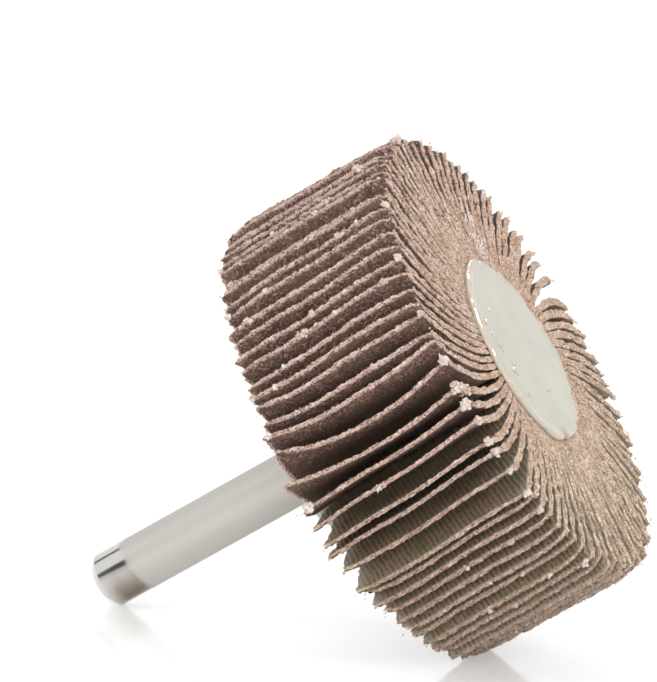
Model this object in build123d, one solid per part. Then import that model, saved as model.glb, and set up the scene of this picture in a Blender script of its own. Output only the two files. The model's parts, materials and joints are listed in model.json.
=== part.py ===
"""Mounted flap wheel: abrasive cloth flaps cast into a resin core on a steel shank.

The wheel is modelled about its own axis, with station 0 at the flaps' rear edges and the
shank running back from there. It is then laid down on its shank tip and its rear rim.
Angles around the axis are in degrees, counter-clockwise seen from the front, from the top.
"""
import math
import os

from build123d import *

# Wheel
wheel_diameter = 50.8
wheel_width = 20.0

# Cloth flaps
flap_count = 86
flap_thickness = 0.5
flaps_per_node = 2
first_tip_angle = 28.5
mean_sweep = 5.0
tip_spread = 0.25
tip_spread_step = 137.5
floor_flat = 0.2

# Spaces between neighbouring flap tips in degrees, in the order in which they go round the rim.
# The row starts again where it ends, and is scaled to fill the circle.
tip_gaps = (
    3.3, 5.7, 2.3, 4.0, 3.2, 5.5, 2.8, 4.7, 3.3, 4.2, 3.8, 3.2, 5.0, 3.5, 6.3, 5.5,
    3.7, 4.3, 5.0, 3.0, 5.2, 6.6, 2.7, 2.7, 4.0, 4.0, 3.3, 4.2, 4.6, 4.2, 6.1,
)

# A place where use has pushed the flaps apart
parting_angle = 279.0
parting_opening = 4.0
parting_reach = 12.0

# Resin core
root_web = 0.085
root_grip = 2.5
slot_overrun = 0.4
front_cover = 0.4
rear_cover = 0.8
core_edge_break = 0.25
boss_length = 6.5
boss_base_radius = 8.0
boss_end_radius = 7.4
boss_edge_break = 1.0

# Steel shank
shank_diameter = 6.0
shank_exposed = 32.5
shank_tip_chamfer = 0.8
shank_buried = 16.0
neck_width = 1.0
key_depth = 0.4

# Sizes that follow
wheel_radius = wheel_diameter / 2
shank_radius = shank_diameter / 2
root_radius = flap_count * (flap_thickness + root_web) / (2 * math.pi)
hub_radius = root_radius + root_grip
root_pitch = 360 / flap_count
floor_block = 4 * wheel_diameter


def cylinder_between(radius, start, end):
    """Cylinder about the wheel's axis from one station to another."""
    return Pos(0, 0, start) * Cylinder(radius, end - start, align=(Align.CENTER, Align.CENTER, Align.MIN))


def make_shank():
    """Plain steel shank with a chamfered tip, keyed into the resin by a turned neck and two flats."""
    shank = cylinder_between(shank_radius, -shank_exposed, shank_buried)
    shank = chamfer(shank.edges().filter_by(GeomType.CIRCLE).sort_by(Axis.Z)[0], shank_tip_chamfer)
    keyed_start = -boss_length
    neck = cylinder_between(shank_radius, keyed_start, keyed_start + neck_width)
    neck -= cylinder_between(shank_radius - key_depth, keyed_start, keyed_start + neck_width)
    shank -= neck
    keyed_length = shank_buried - keyed_start
    for side in (1, -1):
        cutter = Box(shank_diameter, 2 * key_depth, keyed_length, align=(Align.CENTER, Align.CENTER, Align.MIN))
        shank -= Pos(0, side * shank_radius, keyed_start) * cutter
    return shank


def make_slot(index):
    """Space that one flap's root takes up in the resin."""
    length = root_grip + slot_overrun
    slot = Pos(root_radius, 0, 0) * Box(length, flap_thickness, wheel_width, align=(Align.MIN, Align.CENTER, Align.MIN))
    return Rot(0, 0, root_angle(index)) * slot


def make_core(shank):
    """Cast resin core: a drum with thin covers over the flap roots, and a boss behind."""
    drum = cylinder_between(hub_radius, -rear_cover, wheel_width + front_cover)
    rims = drum.edges().filter_by(GeomType.CIRCLE).sort_by(Axis.Z)
    drum = chamfer([rims[0], rims[-1]], core_edge_break)
    boss_height = boss_length - rear_cover
    boss = Cone(boss_end_radius, boss_base_radius, boss_height, align=(Align.CENTER, Align.CENTER, Align.MAX))
    boss = chamfer(boss.edges().filter_by(GeomType.CIRCLE).sort_by(Axis.Z)[0], boss_edge_break)
    core = drum + Pos(0, 0, -rear_cover) * boss
    core -= [make_slot(index) for index in range(flap_count)]
    return core - shank


def tip_angle_list():
    """Angle of every flap tip at mid-width, uneven as the used wheel's flaps stand."""
    gaps = [tip_gaps[index % len(tip_gaps)] for index in range(flap_count)]
    scale = 360 / sum(gaps)
    angles = []
    angle = first_tip_angle
    for gap in gaps:
        offset = (angle - parting_angle + 180) % 360 - 180
        push = parting_opening / 2 * math.copysign(math.exp(-abs(offset) / parting_reach), offset)
        angles.append(angle + push)
        angle += gap * scale
    return angles


def root_angle(index):
    """Angle of a flap's root: the roots are evenly packed."""
    return first_tip_angle + mean_sweep + index * root_pitch


def direction(angle):
    """Unit vector away from the axis at an angle in degrees."""
    return Vector(math.cos(math.radians(angle)), math.sin(math.radians(angle)), 0)


def quarter_turn(vector):
    """The vector turned a quarter turn counter-clockwise."""
    return Vector(-vector.Y, vector.X, 0)


def make_flap(index, tip_angle):
    """One cloth flap: a straight root in the resin, then a blade swept back along an arc."""
    root_direction = direction(root_angle(index))
    tip_radius = wheel_radius + tip_spread * math.sin(math.radians(tip_spread_step * index))
    mouth = root_direction * hub_radius
    tip = direction(tip_angle) * tip_radius
    chord = (tip - mouth).normalized()
    tip_direction = chord * (2 * chord.dot(root_direction)) - root_direction
    half = flap_thickness / 2

    def side(sign):
        across = quarter_turn(root_direction) * half * sign
        foot = root_direction * root_radius + across
        end = tip + quarter_turn(tip_direction) * half * sign
        return Line(foot, mouth + across) + TangentArc(mouth + across, end, tangent=root_direction)

    left, right = side(1), side(-1)
    foot_edge = Line(left @ 0, right @ 0)
    tip_edge = Line(left @ 1, right @ 1)
    outline = make_face(left + tip_edge + right + foot_edge)
    return extrude(outline, wheel_width, dir=(0, 0, 1)).solid()


def lying_plane():
    """Plane of the flaps' rear edges when the wheel lies on its shank tip and rear rim."""
    rise = wheel_radius - floor_flat - shank_radius
    run = shank_exposed - shank_tip_chamfer
    tilt = math.atan2(rise, run)
    axis = (math.cos(tilt), 0, math.sin(tilt))
    up = (-math.sin(tilt), 0, math.cos(tilt))
    height = (wheel_radius - floor_flat) * math.cos(tilt)
    return Plane(origin=(0, 0, height), x_dir=up, z_dir=axis)


def press_flat(flap):
    """Takes off what would reach below the floor, where the cloth is pressed flat."""
    floor = Box(floor_block, floor_block, floor_block, align=(Align.CENTER, Align.CENTER, Align.MAX))
    if flap.bounding_box().min.Z < 0:
        flap = flap - floor
    return flap


def build_nodes():
    """All nodes by name, lying on the floor with the origin below the middle."""
    lying = lying_plane().location
    shank = make_shank()
    nodes = {"shank": [lying * shank], "resin_core": [lying * make_core(shank)]}
    flaps = [press_flat(lying * make_flap(index, angle)) for index, angle in enumerate(tip_angle_list())]
    for start in range(0, flap_count, flaps_per_node):
        name = f"flap_pair_{start // flaps_per_node + 1:02d}"
        nodes[name] = flaps[start:start + flaps_per_node]
    box = Compound([solid for solids in nodes.values() for solid in solids]).bounding_box()
    centring = Pos(-box.center().X, -box.center().Y, 0)
    return {name: [centring * solid for solid in solids] for name, solids in nodes.items()}


def main():
    os.makedirs("parts", exist_ok=True)
    for name, solids in build_nodes().items():
        shape = solids[0] if len(solids) == 1 else Compound(solids)
        export_step(shape, f"parts/{name}.step")


if __name__ == "__main__":
    main()
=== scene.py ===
"""Looks of a mounted flap wheel that lies on its shank tip and rear rim.

Cloth flaps fan out from a cast resin core on a steel shank. Lengths are in metres and angles in
degrees, counter-clockwise around the axis seen from the front, from the top.
"""
from __future__ import annotations

import json
import logging
import math
from collections.abc import Callable
from dataclasses import dataclass, field
from enum import Enum
from typing import ClassVar

import bmesh
import bpy
import numpy as np
from mathutils import Matrix, Vector


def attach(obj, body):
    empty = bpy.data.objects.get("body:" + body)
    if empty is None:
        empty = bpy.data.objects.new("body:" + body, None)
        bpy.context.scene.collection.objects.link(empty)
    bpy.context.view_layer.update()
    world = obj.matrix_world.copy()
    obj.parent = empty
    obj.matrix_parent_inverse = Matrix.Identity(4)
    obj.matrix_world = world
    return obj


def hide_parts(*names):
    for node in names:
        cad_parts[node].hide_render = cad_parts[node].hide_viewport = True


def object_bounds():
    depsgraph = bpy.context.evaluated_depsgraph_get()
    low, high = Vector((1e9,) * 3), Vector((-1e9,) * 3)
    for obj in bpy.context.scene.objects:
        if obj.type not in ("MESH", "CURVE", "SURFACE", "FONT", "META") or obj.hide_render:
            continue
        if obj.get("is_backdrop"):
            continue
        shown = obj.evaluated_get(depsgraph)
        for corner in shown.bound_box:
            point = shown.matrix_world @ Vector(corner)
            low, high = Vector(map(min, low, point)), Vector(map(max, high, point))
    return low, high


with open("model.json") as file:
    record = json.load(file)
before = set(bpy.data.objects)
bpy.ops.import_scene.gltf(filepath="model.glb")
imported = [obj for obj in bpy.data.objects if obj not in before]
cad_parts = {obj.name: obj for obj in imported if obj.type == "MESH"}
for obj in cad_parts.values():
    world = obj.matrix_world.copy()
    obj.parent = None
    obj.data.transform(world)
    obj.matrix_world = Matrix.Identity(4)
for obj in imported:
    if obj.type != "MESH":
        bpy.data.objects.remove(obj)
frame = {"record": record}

LOG = logging.getLogger("flap_wheel")
MM = 0.001
WHITE = (1.0, 1.0, 1.0, 1.0)


def srgb(red: int, green: int, blue: int) -> tuple[float, float, float, float]:
    """Works out the linear colour of a screen colour.

    Args:
        red: red channel, up to 255.
        green: green channel, up to 255.
        blue: blue channel, up to 255.

    Returns:
        The linear channels and an alpha of 1.
    """
    def channel(value: float) -> float:
        """Linear value of one channel."""
        return value / 12.92 if value <= 0.04045 else ((value + 0.055) / 1.055) ** 2.4

    return (channel(red / 255), channel(green / 255), channel(blue / 255), 1.0)


def hill(angle: float, centre: float, reach: float) -> float:
    """Smooth hill of height 1 around an angle, which falls off over the reach."""
    return math.exp(-(((angle - centre + 180) % 360 - 180) / reach) ** 2)


def polar(angle: float, radius: float, station: float = 0.0) -> Vector:
    """Point at an angle and a radius about the wheel's axis, in wheel coordinates."""
    turn = math.radians(angle)
    return Vector((math.cos(turn) * radius, math.sin(turn) * radius, station))


class Face(Enum):
    """Sides of a cloth flap, with the material slot that each one has."""

    GRIT = 0
    BACKING = 1
    CUT = 2
    THREAD = 3


@dataclass(frozen=True)
class WheelFrame:
    """Place of the wheel's own axis in the row frame."""

    origin: Vector
    axis: Vector
    up: Vector
    side: Vector

    @classmethod
    def from_mount(cls, mount: dict, station: float) -> WheelFrame:
        """Reads the axis from the shank's mount.

        Args:
            mount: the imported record's shank mount.
            station: where the mount's point lies along the axis, from the flaps' rear edges.

        Returns:
            The frame whose origin is on the axis at the flaps' rear edges.
        """
        axis = -Vector(mount["axis"]).normalized()
        up = Vector((-axis.z, 0.0, axis.x))
        origin = Vector(mount["pos_m"]) - axis * station
        return cls(origin, axis, up, axis.cross(up))

    def matrix(self) -> Matrix:
        """Matrix that takes wheel coordinates (up, side, station) to the row frame."""
        turn = Matrix((self.up, self.side, self.axis)).transposed().to_4x4()
        return Matrix.Translation(self.origin) @ turn

    def front_place(self, angle: float, radius: float) -> Vector:
        """Point of the flaps' front plane at an angle and a radius, in the row frame."""
        return self.matrix() @ polar(angle, radius, SIZES.width)

    def place(self, points: np.ndarray) -> np.ndarray:
        """Takes rows of wheel coordinates to the row frame."""
        matrix = np.array(self.matrix())
        return points @ matrix[:3, :3].T + matrix[:3, 3]


@dataclass(frozen=True)
class WheelSizes:
    """Sizes that the pieces share, as the solids have them."""

    radius: float = 25.4 * MM
    width: float = 20.0 * MM
    flap_count: int = 86
    flap_thickness: float = 0.5 * MM
    root_web: float = 0.085 * MM
    root_grip: float = 2.5 * MM
    front_cover: float = 0.4 * MM
    rear_cover: float = 0.8 * MM
    boss_length: float = 6.5 * MM
    boss_base_radius: float = 8.0 * MM
    boss_end_radius: float = 7.4 * MM
    shank_radius: float = 3.0 * MM
    shank_exposed: float = 32.5 * MM
    shank_buried: float = 16.0 * MM
    shank_tip_chamfer: float = 0.8 * MM

    @property
    def root_radius(self) -> float:
        """Radius at which the flap roots start."""
        return self.flap_count * (self.flap_thickness + self.root_web) / (2 * math.pi)

    @property
    def hub_radius(self) -> float:
        """Radius of the resin face."""
        return self.root_radius + self.root_grip

    @property
    def mount_station(self) -> float:
        """Station of the shank mount's point, half way along the free wall."""
        return -(self.shank_exposed - self.shank_tip_chamfer + self.boss_length) / 2


SIZES = WheelSizes()


class NodeGraph:
    """Short calls that add and link nodes in a material, a group or the world."""

    def __init__(self, tree: bpy.types.NodeTree) -> None:
        """Keeps the tree that the nodes go into."""
        self.tree = tree

    def add(self, kind: str, inputs: dict | None = None, **settings: object) -> bpy.types.Node:
        """Adds one node.

        Args:
            kind: the node's type name.
            inputs: value or output socket for each named or numbered input.
            settings: properties set on the node itself.

        Returns:
            The new node.
        """
        node = self.tree.nodes.new(kind)
        for name, value in settings.items():
            setattr(node, name, value)
        for name, value in (inputs or {}).items():
            self.feed(value, node.inputs[name])
        return node

    def feed(self, value: object, socket: bpy.types.NodeSocket) -> None:
        """Links an output socket to an input, or sets the input's own value.

        Args:
            value: an output socket, a number, a colour or a vector.
            socket: the input.
        """
        if isinstance(value, bpy.types.NodeSocket):
            self.tree.links.new(value, socket)
        else:
            socket.default_value = value

    def mix(self, factor: object, first: object, second: object) -> bpy.types.NodeSocket:
        """Mixes two colours and returns the result."""
        return self.add("ShaderNodeMix", {0: factor, 6: first, 7: second}, data_type="RGBA").outputs[2]

    def math(self, operation: str, first: object, second: object = 0.0) -> bpy.types.NodeSocket:
        """Works out one sum and returns its value."""
        return self.add("ShaderNodeMath", {0: first, 1: second}, operation=operation).outputs[0]

    def times(self, first: object, second: object) -> bpy.types.NodeSocket:
        """Multiplies two values."""
        return self.math("MULTIPLY", first, second)

    def plus(self, first: object, second: object) -> bpy.types.NodeSocket:
        """Adds two values."""
        return self.math("ADD", first, second)

    def minus(self, first: object, second: object) -> bpy.types.NodeSocket:
        """Takes the second value from the first."""
        return self.math("SUBTRACT", first, second)

    def blend(self, mask: object, share: float, first: object, second: object) -> bpy.types.NodeSocket:
        """Mixes a second colour into a first by a share of a mask."""
        return self.mix(self.times(mask, share), first, second)

    def vectors(self, operation: str, first: object, second: object) -> bpy.types.NodeSocket:
        """Works out one number from two vectors."""
        return self.add("ShaderNodeVectorMath", {0: first, 1: second}, operation=operation).outputs["Value"]

    def ramp(self, factor: object, low: float, high: float) -> bpy.types.NodeSocket:
        """Stretches a value between two limits to 0 to 1, smoothly; low may be above high."""
        node = self.add("ShaderNodeMapRange", {0: factor, 1: low, 2: high}, interpolation_type="SMOOTHSTEP")
        return node.outputs[0]

    def noise(self, where: object, scale: float, detail: float = 3.0) -> bpy.types.NodeSocket:
        """Noise value with so many features in a unit of length."""
        return self.add("ShaderNodeTexNoise", {"Vector": where, "Scale": scale, "Detail": detail}).outputs[0]

    def patches(self, where: object, scale: float, low: float, high: float,
                detail: float = 4.0) -> bpy.types.NodeSocket:
        """Mask of the patches in which a noise lies above its limits."""
        return self.ramp(self.noise(where, scale, detail), low, high)

    def object_place(self) -> bpy.types.NodeSocket:
        """Place on the piece, in the piece's own coordinates."""
        return self.add("ShaderNodeTexCoord").outputs["Object"]

    def uv_parts(self, name: str) -> bpy.types.NodeOutputs:
        """The two numbers of a UV map, as outputs X and Y."""
        where = self.add("ShaderNodeUVMap", uv_map=name).outputs[0]
        return self.add("ShaderNodeSeparateXYZ", {0: where}).outputs


def shader_group(name: str, inputs: dict[str, float | tuple], outputs: dict[str, str]) -> tuple:
    """Makes an empty node group with named sockets.

    Args:
        name: the group's name.
        inputs: default of each input, a number or a colour.
        outputs: socket type of each output.

    Returns:
        The group's tree, its graph, the sockets that it is given and those of its result.
    """
    tree = bpy.data.node_groups.new(name, "ShaderNodeTree")
    for label, default in inputs.items():
        kind = "NodeSocketColor" if isinstance(default, tuple) else "NodeSocketFloat"
        tree.interface.new_socket(label, in_out="INPUT", socket_type=kind).default_value = default
    for label, kind in outputs.items():
        tree.interface.new_socket(label, in_out="OUTPUT", socket_type=kind)
    graph = NodeGraph(tree)
    return tree, graph, graph.add("NodeGroupInput").outputs, graph.add("NodeGroupOutput").inputs


def speckle_group() -> bpy.types.NodeTree:
    """Builds the group that scatters light and dark grains over a base colour, with their relief.

    Returns:
        The group.
    """
    patchy, light_grains, dark_grains = (900.0, 0.25, 0.7), (0.58, 0.8), (0.62, 0.85)
    tree, graph, given, result = shader_group(
        "Speckle",
        {"Base": (0.2, 0.1, 0.1, 1.0), "Light": (0.5, 0.4, 0.4, 1.0), "Dark": (0.05, 0.04, 0.03, 1.0),
         "Cells per metre": 4000.0, "Amount": 0.5},
        {"Color": "NodeSocketColor", "Height": "NodeSocketFloat"},
    )
    where = graph.object_place()
    cells = graph.add("ShaderNodeTexVoronoi", {"Vector": where, "Scale": given["Cells per metre"]})
    kinds = graph.add("ShaderNodeSeparateColor", {0: cells.outputs["Color"]}).outputs
    patches = graph.patches(where, *patchy)
    light = graph.times(graph.ramp(kinds["Red"], *light_grains), patches)
    dark = graph.times(graph.ramp(kinds["Green"], *dark_grains), given["Amount"])
    lit = graph.mix(graph.times(light, given["Amount"]), given["Base"], given["Light"])
    graph.feed(graph.mix(dark, lit, given["Dark"]), result["Color"])
    crown = graph.minus(1.0, cells.outputs["Distance"])
    size = graph.plus(0.5, graph.times(kinds["Red"], 0.5))
    graph.feed(graph.times(crown, size), result["Height"])
    return tree


def weave_group() -> bpy.types.NodeTree:
    """Builds the group that draws the backing's slanting ribs and its weft from the cloth map.

    Returns:
        The group.
    """
    wobble_scale, wobble_height, weft_height, groove = 700.0, 0.35, 0.35, (-1.0, 0.4)
    tree, graph, given, result = shader_group(
        "Weave",
        {"Rib pitch": 0.54, "Weft pitch": 0.4, "Slant": 18.0},
        {"Height": "NodeSocketFloat", "Rib": "NodeSocketFloat"},
    )
    parts = graph.uv_parts("cloth")
    slant = graph.math("RADIANS", given["Slant"])
    cosine, sine = graph.math("COSINE", slant), graph.math("SINE", slant)
    across = graph.minus(graph.times(parts["Y"], cosine), graph.times(parts["X"], sine))
    along = graph.plus(graph.times(parts["X"], cosine), graph.times(parts["Y"], sine))
    wobble = graph.times(graph.noise(graph.object_place(), wobble_scale, 2.0), wobble_height)
    rib_turn = graph.math("DIVIDE", graph.plus(across, wobble), given["Rib pitch"])
    weft_turn = graph.math("DIVIDE", along, given["Weft pitch"])
    rib = graph.math("SINE", graph.times(rib_turn, math.tau))
    weft = graph.math("SINE", graph.times(weft_turn, math.tau))
    graph.feed(graph.plus(rib, graph.times(weft, weft_height)), result["Height"])
    graph.feed(graph.ramp(rib, *groove), result["Rib"])
    return tree


def fray_group() -> bpy.types.NodeTree:
    """Builds the group that masks the cloth near its free edges, from the margin map.

    Returns:
        The group.
    """
    ragged_scale, ragged_height = 2200.0, 1.2
    tree, graph, given, result = shader_group(
        "Edge fray", {"Tip reach": 0.6, "Side reach": 0.9}, {"Mask": "NodeSocketFloat"})
    margin = graph.uv_parts("margin")
    ragged = graph.times(graph.noise(graph.object_place(), ragged_scale), ragged_height)

    def near(distance: bpy.types.NodeSocket, reach: bpy.types.NodeSocket) -> bpy.types.NodeSocket:
        """Masks what is within reach of an edge, raggedly."""
        return graph.ramp(graph.times(distance, ragged), reach, 0.0)

    at_tip, at_side = near(margin["X"], given["Tip reach"]), near(margin["Y"], given["Side reach"])
    graph.feed(graph.math("MAXIMUM", at_tip, at_side), result["Mask"])
    return tree


class Effects:
    """Node groups that several finishes share, each built once."""

    def __init__(self) -> None:
        """Builds the groups."""
        self.speckle = speckle_group()
        self.weave = weave_group()
        self.fray = fray_group()


@dataclass(frozen=True)
class Finish:
    """A finish made with one Principled BSDF."""

    name: str

    def material(self) -> tuple[bpy.types.Material, NodeGraph, bpy.types.NodeInputs]:
        """Makes the empty material.

        Returns:
            The material, its graph and the inputs of its Principled BSDF.
        """
        made = bpy.data.materials.new(self.name)
        made.use_nodes = True
        return made, NodeGraph(made.node_tree), made.node_tree.nodes["Principled BSDF"].inputs

    def group(self, graph: NodeGraph, tree: bpy.types.NodeTree, values: dict) -> bpy.types.NodeOutputs:
        """Places a shared group in the material with its own values, and returns its outputs."""
        return graph.add("ShaderNodeGroup", values, node_tree=tree).outputs

    def bump(self, graph: NodeGraph, shader: bpy.types.NodeInputs, height: object, depth: float) -> None:
        """Gives the shader a relief of so many metres."""
        node = graph.add("ShaderNodeBump", {"Height": height, "Distance": depth, "Strength": 1.0})
        graph.feed(node.outputs[0], shader["Normal"])

    def give(self, shader: bpy.types.NodeInputs, values: dict[str, object]) -> None:
        """Sets the shader's plain values."""
        for name, value in values.items():
            shader[name].default_value = value

    def dull(self, shader: bpy.types.NodeInputs, roughness: float, specular: float) -> None:
        """Sets a rough surface with a weak shine."""
        self.give(shader, {"Roughness": roughness, "Specular IOR Level": specular})


@dataclass(frozen=True)
class GritFinish(Finish):
    """Brown fused abrasive grit bonded to the cloth, duller where it has worn, darker away from the tip with
    painted shade and unworn grit, and lighter still further in with painted light.
    """

    bond: tuple = srgb(108, 83, 74)
    grain: tuple = srgb(182, 146, 138)
    pit: tuple = srgb(78, 60, 50)
    worn: tuple = srgb(112, 96, 76)
    # Painted shade, partly real: dark olive brown away from the tip, where the flaps shade each other and the
    # grit is unworn.
    deep_grit_and_shade: tuple = srgb(80, 65, 54)
    # Painted light: a lighter colour far from the tip, down between the flaps, that lifts the shade there.
    inner: tuple = srgb(150, 128, 110)
    dust: tuple = srgb(208, 180, 166)
    lint: tuple = srgb(232, 210, 198)
    worn_patches: tuple = (320.0, 0.5, 0.72)
    worn_share: float = 0.7
    deep_grit_and_shade_band: tuple[float, float] = (0.5, 3.6)
    deep_grit_and_shade_share: float = 0.7
    painted_fill_band: tuple[float, float] = (3.8, 8.5)
    painted_fill_share: float = 0.8
    fray_tip: float = 0.24
    fray_side: float = 0.14
    dust_share: float = 0.9
    cells_per_metre: float = 5000.0
    relief: float = 0.06 * MM

    def build(self, effects: Effects) -> bpy.types.Material:
        """Builds the material.

        Args:
            effects: the shared node groups.

        Returns:
            The material.
        """
        made, graph, shader = self.material()
        speckle = self.group(graph, effects.speckle, {
            "Base": self.bond, "Light": self.grain, "Dark": self.pit,
            "Cells per metre": self.cells_per_metre, "Amount": 1.0})
        wear = graph.patches(graph.object_place(), *self.worn_patches)
        colour = graph.blend(wear, self.worn_share, speckle["Color"], self.worn)
        from_tip = graph.uv_parts("margin")["X"]
        # Painted shade between the flaps, partly darker unworn grit: the colour darkens away from the tip.
        colour = graph.blend(graph.ramp(from_tip, *self.deep_grit_and_shade_band), self.deep_grit_and_shade_share, colour, self.deep_grit_and_shade)
        # Painted light: lifts the shade between the flaps far from the tip.
        colour = graph.blend(graph.ramp(from_tip, *self.painted_fill_band), self.painted_fill_share, colour, self.inner)
        pale = self.group(graph, effects.speckle, {
            "Base": self.dust, "Light": self.lint, "Dark": self.bond,
            "Cells per metre": self.cells_per_metre, "Amount": 0.9})
        fray = self.group(graph, effects.fray, {"Tip reach": self.fray_tip, "Side reach": self.fray_side})
        graph.feed(graph.blend(fray["Mask"], self.dust_share, colour, pale["Color"]), shader["Base Color"])
        self.dull(shader, 0.85, 0.25)
        self.bump(graph, shader, speckle["Height"], self.relief)
        return made


@dataclass(frozen=True)
class BackingFinish(Finish):
    """Impregnated cotton backing with slanting ribs, stained by dust from the grinding, and lighter far from
    the tip with painted light that lifts the shade between the flaps.
    """

    cloth: tuple = srgb(164, 144, 120)
    groove: tuple = srgb(116, 98, 78)
    olive: tuple = srgb(116, 118, 80)
    brown: tuple = srgb(138, 104, 86)
    dust: tuple = srgb(188, 178, 162)
    # Painted light: a lighter colour far from the tip, down between the flaps, that lifts the shade there.
    inner: tuple = srgb(210, 190, 164)
    rib_pitch: float = 0.54
    weft_pitch: float = 0.4
    slant: float = 18.0
    clogged_patches: tuple = (1400.0, 0.46, 0.66)
    olive_patches: tuple = (380.0, 0.48, 0.68)
    olive_share: float = 0.6
    brown_patches: tuple = (610.0, 0.5, 0.72)
    brown_share: float = 0.5
    painted_fill_band: tuple[float, float] = (4.0, 11.0)
    painted_fill_share: float = 0.6
    fray_tip: float = 0.3
    fray_side: float = 0.7
    dust_share: float = 0.65
    relief: float = 0.03 * MM

    def build(self, effects: Effects) -> bpy.types.Material:
        """Builds the material.

        Args:
            effects: the shared node groups.

        Returns:
            The material.
        """
        made, graph, shader = self.material()
        weave = self.group(graph, effects.weave, {
            "Rib pitch": self.rib_pitch, "Weft pitch": self.weft_pitch, "Slant": self.slant})
        where = graph.object_place()
        clogged = graph.patches(where, *self.clogged_patches)
        ribbed = graph.mix(graph.math("MAXIMUM", weave["Rib"], clogged), self.groove, self.cloth)
        green = graph.patches(where, *self.olive_patches)
        red = graph.patches(where, *self.brown_patches)
        stained = graph.blend(green, self.olive_share, ribbed, self.olive)
        stained = graph.blend(red, self.brown_share, stained, self.brown)
        from_tip = graph.uv_parts("margin")["X"]
        # Painted light: lifts the shade between the flaps far from the tip.
        stained = graph.blend(graph.ramp(from_tip, *self.painted_fill_band), self.painted_fill_share, stained, self.inner)
        fray = self.group(graph, effects.fray, {"Tip reach": self.fray_tip, "Side reach": self.fray_side})
        graph.feed(graph.blend(fray["Mask"], self.dust_share, stained, self.dust), shader["Base Color"])
        self.dull(shader, 0.8, 0.3)
        self.bump(graph, shader, weave["Height"], self.relief)
        return made


@dataclass(frozen=True)
class CutFinish(Finish):
    """Frayed cut edge, pale fibres between specks of grit, pinker on the upper half of the wheel."""

    # Angle, radius and reach in millimetres of each place on the front that is pale with lint.
    places: ClassVar[tuple] = (
        (3.0, 25.0, 1.6), (6.5, 23.6, 1.5), (10.5, 22.0, 1.3), (15.0, 20.4, 1.1), (20.0, 18.8, 1.0),
        (334.0, 16.8, 1.8), (333.5, 14.0, 1.9), (334.3, 12.4, 1.4), (318.0, 24.0, 1.6), (182.0, 14.5, 1.2),
    )

    tan: tuple = srgb(213, 193, 162)
    pink: tuple = srgb(208, 179, 160)
    rose: tuple = srgb(224, 201, 187)
    umber: tuple = srgb(196, 170, 150)
    chalk: tuple = srgb(244, 234, 224)
    speck: tuple = srgb(146, 112, 90)
    garnet: tuple = srgb(138, 92, 84)
    brown: tuple = srgb(172, 136, 102)
    cells_per_metre: float = 5400.0
    relief: float = 0.1 * MM
    tan_below: float = 12 * MM
    pink_above: float = 36 * MM
    tip_band: tuple[float, float] = (0.4, 0.1)
    brown_patches: tuple = (380.0, 0.46, 0.66)
    brown_share: float = 0.75
    chalk_share: float = 0.8
    chalk_ragged: float = 0.3
    chalk_middle: float = 0.2

    def build(self, effects: Effects, wheel: WheelFrame) -> bpy.types.Material:
        """Builds the material.

        Args:
            effects: the shared node groups.
            wheel: where the wheel lies, for the places on its front that are pale with lint.

        Returns:
            The material.
        """
        made, graph, shader = self.material()
        where = graph.object_place()
        height = graph.add("ShaderNodeSeparateXYZ", {0: where}).outputs["Z"]
        high = graph.ramp(height, self.tan_below, self.pink_above)
        base, ends = graph.mix(high, self.tan, self.pink), graph.mix(high, self.umber, self.rose)
        tip = graph.ramp(graph.uv_parts("margin")["X"], *self.tip_band)
        patches = graph.patches(where, *self.brown_patches)
        base = graph.mix(tip, graph.blend(patches, self.brown_share, base, self.brown), ends)
        for angle, radius, size in self.places:
            reach = size * MM
            away = graph.vectors("DISTANCE", where, wheel.front_place(angle, radius * MM))
            away = graph.plus(away, graph.times(patches, self.chalk_ragged * reach))
            chalked = graph.ramp(away, reach, self.chalk_middle * reach)
            base = graph.blend(chalked, self.chalk_share, base, self.chalk)
        speckle = self.group(graph, effects.speckle, {
            "Base": base, "Light": self.chalk, "Dark": graph.mix(tip, self.speck, self.garnet),
            "Cells per metre": self.cells_per_metre, "Amount": 0.8})
        graph.feed(speckle["Color"], shader["Base Color"])
        self.dull(shader, 0.9, 0.2)
        self.bump(graph, shader, speckle["Height"], self.relief)
        return made


@dataclass(frozen=True)
class ThreadFinish(Finish):
    """Loose cotton fibres, dusty in places."""

    cotton: tuple = srgb(230, 216, 206)
    dusty: tuple = srgb(204, 180, 164)
    dusty_patches: tuple = (900.0, 0.42, 0.66, 3.0)

    def build(self) -> bpy.types.Material:
        """Builds the material.

        Returns:
            The material.
        """
        made, graph, shader = self.material()
        shade = graph.patches(graph.object_place(), *self.dusty_patches)
        graph.feed(graph.mix(shade, self.cotton, self.dusty), shader["Base Color"])
        self.dull(shader, 0.9, 0.2)
        return made


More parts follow.
